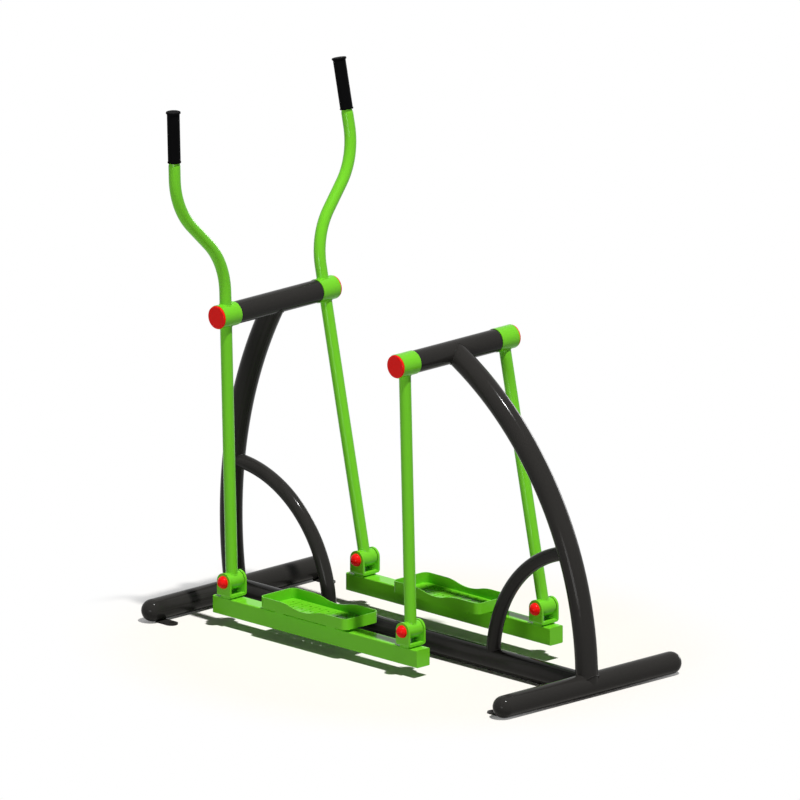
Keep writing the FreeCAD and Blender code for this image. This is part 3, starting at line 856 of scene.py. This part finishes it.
# ---------------------------------------------------------------- stage, light and camera
@dataclass(frozen=True)
class Lamp:
    """A distant lamp, whose light comes from one way.

    Attributes:
        name: The lamp's name.
        way: The way from the machine to the lamp.
        strength: How strongly it lights a surface that faces it.
        spread: The angle that it fills, which softens its shadows.
    """

    name: str
    way: tuple[float, float, float]
    strength: float
    spread: float

    def build(self) -> None:
        """Hangs the lamp and turns it to shine on the machine."""
        lamp = bpy.data.lights.new(self.name, "SUN")
        lamp.energy = self.strength
        lamp.angle = self.spread
        holder = bpy.data.objects.new(self.name, lamp)
        holder.rotation_mode = "QUATERNION"
        holder.rotation_quaternion = Vector(self.way).to_track_quat("Z", "Y")
        bpy.context.scene.collection.objects.link(holder)


@dataclass(frozen=True)
class Stage:
    """A plain pale floor, the world behind it, and the lamps.

    Attributes:
        floor_size: The length of the floor's sides, in metres.
        floor_colour: The colour that the floor shows, linear.
        floor_bounce: The share of the light that it throws back at the machine.
        clear_reach: The half axes of the ellipse that measures the clearing, in metres.
        clear_from: Where the floor starts to clear, as a share of that ellipse.
        clear_to: Where it is all white, as a share of that ellipse.
        world_light: The strength of the even light from all round.
        lamps: The lamps round the machine.
    """

    floor_size: float = 40.0
    floor_colour: tuple[float, float, float] = (0.945, 0.91, 0.86)
    floor_bounce: tuple[float, float, float] = (0.4, 0.4, 0.4)
    clear_reach: tuple[float, float] = (1.0, 0.9)
    clear_from: float = 0.8
    clear_to: float = 1.25
    world_light: float = 0.04
    lamps: tuple[Lamp, ...] = (
        Lamp("key_lamp", (-0.366, 0.014, 1.0), 3.4, np.radians(2.5)),
        Lamp("left_lamp", (-0.4, 1.0, 0.0), 1.4, np.radians(24.0)),
        Lamp("right_lamp", (0.25, -1.0, 0.03), 0.75, np.radians(20.0)),
    )

    def floor_material(self) -> bpy.types.Material:
        """Cream paper that keeps the machine's shadow and clears to white away from it.

        The clearing follows the distance from the middle of the floor, measured as on an ellipse.
        The light that the paper throws back at the machine has a strength of its own.

        Returns:
            The new material.
        """
        shader = Shader(bpy.data.materials.new("floor_paper"))
        seen = shader.seen()
        bounce, cream = (shader.add("ShaderNodeBsdfDiffuse", None, {"Color": (*colour, 1.0)})
                         for colour in (self.floor_bounce, self.floor_colour))
        paper = shader.add("ShaderNodeMixShader", None, {0: seen, 1: bounce, 2: cream})
        white = shader.add("ShaderNodeEmission", None, {"Color": WHITE, "Strength": 1.0})
        round_place = shader.add("ShaderNodeVectorMath", {"operation": "DIVIDE"}, {
            0: shader.place(), 1: (*self.clear_reach, 1.0)})
        reach = shader.add("ShaderNodeVectorMath", {"operation": "LENGTH"}, {0: round_place},
                           output="Value")
        clear = shader.add("ShaderNodeMapRange", {"interpolation_type": "SMOOTHSTEP"}, {
            "Value": reach, "From Min": self.clear_from, "From Max": self.clear_to})
        return shader.finish(shader.add("ShaderNodeMixShader", None, {
            0: clear * seen, 1: paper, 2: white}))

    def build_floor(self) -> None:
        """Lays the floor under the machine."""
        half = self.floor_size / 2.0
        mesh = bpy.data.meshes.new("floor")
        corners = [(-half, -half, 0.0), (half, -half, 0.0), (half, half, 0.0), (-half, half, 0.0)]
        mesh.from_pydata(corners, [], [(0, 1, 2, 3)])
        mesh.materials.append(self.floor_material())
        floor = bpy.data.objects.new("floor", mesh)
        bpy.context.scene.collection.objects.link(floor)
        floor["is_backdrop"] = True

    def build_world(self) -> None:
        """Lights the machine evenly from all round, and shows the camera plain white."""
        shader = Shader(bpy.data.worlds.new("studio"))
        white, soft = (
            shader.add("ShaderNodeBackground", None, {"Color": WHITE, "Strength": strength})
            for strength in (1.0, self.world_light))
        bpy.context.scene.world = shader.finish(shader.add("ShaderNodeMixShader", None, {
            0: shader.seen(), 1: soft, 2: white}))

    def build(self) -> None:
        """Lays the floor and sets up the light."""
        self.build_floor()
        self.build_world()
        for lamp in self.lamps:
            lamp.build()
        bpy.context.scene.view_settings.view_transform = "Standard"


@dataclass(frozen=True)
class Viewpoint:
    """A camera with parallel rays, behind the machine and to its left.

    Attributes:
        azimuth: The angle round the machine: 0 on its right, and a quarter turn in front of it.
        elevation: The angle above the floor.
        target: The point that is in the middle of the picture.
        picture_width: The width of the picture, in metres.
        distance: The camera's distance from the target, in metres.
        sight: How far it sees, in metres.
    """

    azimuth: float = np.radians(225.53)
    elevation: float = np.radians(15.66)
    target: tuple[float, float, float] = (0.1831, -0.1274, 0.7842)
    picture_width: float = 2.6316
    distance: float = 12.0
    sight: float = 48.0

    def build(self) -> None:
        """Makes the camera, looking at the target from its azimuth and elevation."""
        back = Vector((np.sin(self.azimuth) * np.cos(self.elevation),
                       -np.cos(self.azimuth) * np.cos(self.elevation), np.sin(self.elevation)))
        camera = bpy.data.cameras.new("camera")
        camera.type = "ORTHO"
        camera.ortho_scale = self.picture_width
        camera.clip_end = self.sight
        holder = bpy.data.objects.new("camera", camera)
        holder.location = Vector(self.target) + self.distance * back
        holder.rotation_mode = "QUATERNION"
        holder.rotation_quaternion = (-back).to_track_quat("-Z", "Y")
        bpy.context.scene.collection.objects.link(holder)
        bpy.context.scene.camera = holder


# ---------------------------------------------------------------- the whole machine
def joint_places(frame: dict) -> dict[str, np.ndarray]:
    return {joint["name"]: np.array(joint["pos_m"]) for joint in frame["joints"]}


def build_welds(frame: dict, box: np.ndarray, paintbox: Paintbox) -> None:
    """Makes the weld beads of the frame and of both sides.

    Args:
        box: The machine's lowest and highest corners.
        paintbox: Where the finishes come from.
    """
    places = joint_places(frame)
    hubs = {side: {"front": places[f"{side}_lever_swing"], "rear": places[f"{side}_hanger_swing"]}
            for side in ("left", "right")}
    FrameWelds(hubs["left"], box).build(paintbox)
    for side, ends in hubs.items():
        lever = places[f"{side}_beam_pivot"] - ends["front"]
        length = float(np.linalg.norm(lever))
        SideWelds(side, ends, lever / length, length, box).build(paintbox)


def main() -> None:
    """Dresses the machine, adds its welds, and sets up the stage and the camera."""
    logging.basicConfig(level=logging.INFO, format="%(name)s: %(message)s")
    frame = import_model()
    cad_box = [list(corner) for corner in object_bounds()]
    paintbox = Paintbox()
    paintbox.dress_solids(frame)
    build_welds(frame, np.array(cad_box), paintbox)
    Stage().build()
    Viewpoint().build()
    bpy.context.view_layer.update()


if __name__ == "__main__":
    main()
